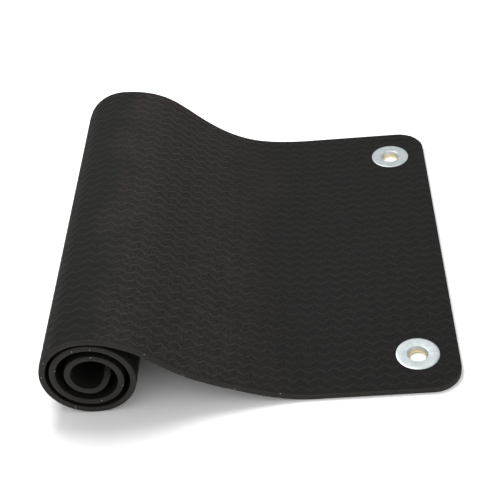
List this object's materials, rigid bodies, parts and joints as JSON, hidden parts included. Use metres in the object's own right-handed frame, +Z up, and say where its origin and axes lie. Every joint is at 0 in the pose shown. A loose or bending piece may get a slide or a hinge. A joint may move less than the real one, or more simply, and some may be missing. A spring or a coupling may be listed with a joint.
{
  "type": "exercise mat",
  "caption": "Roll-up foam exercise mat, half unrolled, with a metal hanging eyelet near each corner of its free end.",
  "frame": {"origin": "on the floor, under the middle of the mat's box as it lies partly rolled", "axes": "+X along the mat's length from the roll to the free end with the eyelets, +Y across its width, +Z up"},
  "size_m": [0.5664, 0.6, 0.1364],
  "materials": {
    "foam": "matt charcoal closed-cell foam with an embossed zigzag face",
    "plated_steel": "bright zinc-plated steel"
  },
  "bodies": {
    "rise": {"rise": "foam"},
    "flap_3": {"flap_3": "foam"},
    "flap_2": {"flap_2": "foam"},
    "flap_1": {"flap_1": "foam"},
    "free_end": {"free_end": "foam", "grommet_near": "plated_steel", "grommet_far": "plated_steel", "washer_near": "plated_steel", "washer_far": "plated_steel"},
    "outer_turn_01": {"outer_turn_01": "foam"},
    "outer_turn_02": {"outer_turn_02": "foam"},
    "outer_turn_03": {"outer_turn_03": "foam"},
    "outer_turn_04": {"outer_turn_04": "foam"},
    "outer_turn_05": {"outer_turn_05": "foam"},
    "outer_turn_06": {"outer_turn_06": "foam"},
    "outer_turn_07": {"outer_turn_07": "foam"},
    "outer_turn_08": {"outer_turn_08": "foam"},
    "outer_turn_09": {"outer_turn_09": "foam"},
    "outer_turn_10": {"outer_turn_10": "foam"},
    "outer_turn_11": {"outer_turn_11": "foam"},
    "outer_turn_12": {"outer_turn_12": "foam"},
    "outer_turn_13": {"outer_turn_13": "foam"},
    "outer_turn_14": {"outer_turn_14": "foam"},
    "outer_turn_15": {"outer_turn_15": "foam"},
    "core": {"core": "foam"}
  },
  "joints": [
    {"name": "flap_lift", "type": "hinge", "parent": "rise", "child": "flap_3", "pos_m": [0.09616, 0, 0.00475], "axis": [0, -1, 0], "range_deg": [0, 15]},
    {"name": "flap_bend_02", "type": "hinge", "parent": "flap_3", "child": "flap_2", "pos_m": [0.12616, 0, 0.00475], "axis": [0, -1, 0], "range_deg": [0, 15]},
    {"name": "flap_bend_03", "type": "hinge", "parent": "flap_2", "child": "flap_1", "pos_m": [0.15616, 0, 0.00475], "axis": [0, -1, 0], "range_deg": [0, 15]},
    {"name": "flap_bend_04", "type": "hinge", "parent": "flap_1", "child": "free_end", "pos_m": [0.18616, 0, 0.00475], "axis": [0, -1, 0], "range_deg": [0, 15]},
    {"name": "unroll", "type": "hinge", "parent": "rise", "child": "outer_turn_01", "pos_m": [-0.22714, 0, 0.13164], "axis": [0, 1, 0], "range_deg": [0, 22.5]},
    {"name": "turn_bend_02", "type": "hinge", "parent": "outer_turn_01", "child": "outer_turn_02", "pos_m": [-0.25066, 0, 0.12189], "axis": [0, 1, 0], "range_deg": [0, 22.5]},
    {"name": "turn_bend_03", "type": "hinge", "parent": "outer_turn_02", "child": "outer_turn_03", "pos_m": [-0.26866, 0, 0.10389], "axis": [0, 1, 0], "range_deg": [0, 22.5]},
    {"name": "turn_bend_04", "type": "hinge", "parent": "outer_turn_03", "child": "outer_turn_04", "pos_m": [-0.27841, 0, 0.08037], "axis": [0, 1, 0], "range_deg": [0, 22.5]},
    {"name": "turn_bend_05", "type": "hinge", "parent": "outer_turn_04", "child": "outer_turn_05", "pos_m": [-0.27841, 0, 0.05498], "axis": [0, 1, 0], "range_deg": [0, 22.5]},
    {"name": "turn_bend_06", "type": "hinge", "parent": "outer_turn_05", "child": "outer_turn_06", "pos_m": [-0.26878, 0, 0.03173], "axis": [0, 1, 0], "range_deg": [0, 22.5]},
    {"name": "turn_bend_07", "type": "hinge", "parent": "outer_turn_06", "child": "outer_turn_07", "pos_m": [-0.2512, 0, 0.01415], "axis": [0, 1, 0], "range_deg": [0, 22.5]},
    {"name": "turn_bend_08", "type": "hinge", "parent": "outer_turn_07", "child": "outer_turn_08", "pos_m": [-0.2285, 0, 0.00475], "axis": [0, 1, 0], "range_deg": [0, 22.5]},
    {"name": "turn_bend_09", "type": "hinge", "parent": "outer_turn_08", "child": "outer_turn_09", "pos_m": [-0.20423, 0, 0.00475], "axis": [0, 1, 0], "range_deg": [0, 22.5]},
    {"name": "turn_bend_10", "type": "hinge", "parent": "outer_turn_09", "child": "outer_turn_10", "pos_m": [-0.18209, 0, 0.01392], "axis": [0, 1, 0], "range_deg": [0, 22.5]},
    {"name": "turn_bend_11", "type": "hinge", "parent": "outer_turn_10", "child": "outer_turn_11", "pos_m": [-0.16535, 0, 0.03066], "axis": [0, 1, 0], "range_deg": [0, 22.5]},
    {"name": "turn_bend_12", "type": "hinge", "parent": "outer_turn_11", "child": "outer_turn_12", "pos_m": [-0.15641, 0, 0.05225], "axis": [0, 1, 0], "range_deg": [0, 22.5]},
    {"name": "turn_bend_13", "type": "hinge", "parent": "outer_turn_12", "child": "outer_turn_13", "pos_m": [-0.15641, 0, 0.0753], "axis": [0, 1, 0], "range_deg": [0, 22.5]},
    {"name": "turn_bend_14", "type": "hinge", "parent": "outer_turn_13", "child": "outer_turn_14", "pos_m": [-0.16509, 0, 0.09625], "axis": [0, 1, 0], "range_deg": [0, 22.5]},
    {"name": "turn_bend_15", "type": "hinge", "parent": "outer_turn_14", "child": "outer_turn_15", "pos_m": [-0.18084, 0, 0.11201], "axis": [0, 1, 0], "range_deg": [0, 22.5]},
    {"name": "turn_bend_16", "type": "hinge", "parent": "outer_turn_15", "child": "core", "pos_m": [-0.20105, 0, 0.12038], "axis": [0, 1, 0], "range_deg": [0, 22.5]}
  ],
  "couplings": [
    {"joint": "flap_bend_02", "follows": "flap_lift", "ratio": 1},
    {"joint": "flap_bend_03", "follows": "flap_lift", "ratio": 1},
    {"joint": "flap_bend_04", "follows": "flap_lift", "ratio": 1},
    {"joint": "turn_bend_02", "follows": "unroll", "ratio": 1},
    {"joint": "turn_bend_03", "follows": "unroll", "ratio": 1},
    {"joint": "turn_bend_04", "follows": "unroll", "ratio": 1},
    {"joint": "turn_bend_05", "follows": "unroll", "ratio": 1},
    {"joint": "turn_bend_06", "follows": "unroll", "ratio": 1},
    {"joint": "turn_bend_07", "follows": "unroll", "ratio": 1},
    {"joint": "turn_bend_08", "follows": "unroll", "ratio": 1},
    {"joint": "turn_bend_09", "follows": "unroll", "ratio": 1},
    {"joint": "turn_bend_10", "follows": "unroll", "ratio": 1},
    {"joint": "turn_bend_11", "follows": "unroll", "ratio": 1},
    {"joint": "turn_bend_12", "follows": "unroll", "ratio": 1},
    {"joint": "turn_bend_13", "follows": "unroll", "ratio": 1},
    {"joint": "turn_bend_14", "follows": "unroll", "ratio": 1},
    {"joint": "turn_bend_15", "follows": "unroll", "ratio": 1},
    {"joint": "turn_bend_16", "follows": "unroll", "ratio": 1}
  ]
}
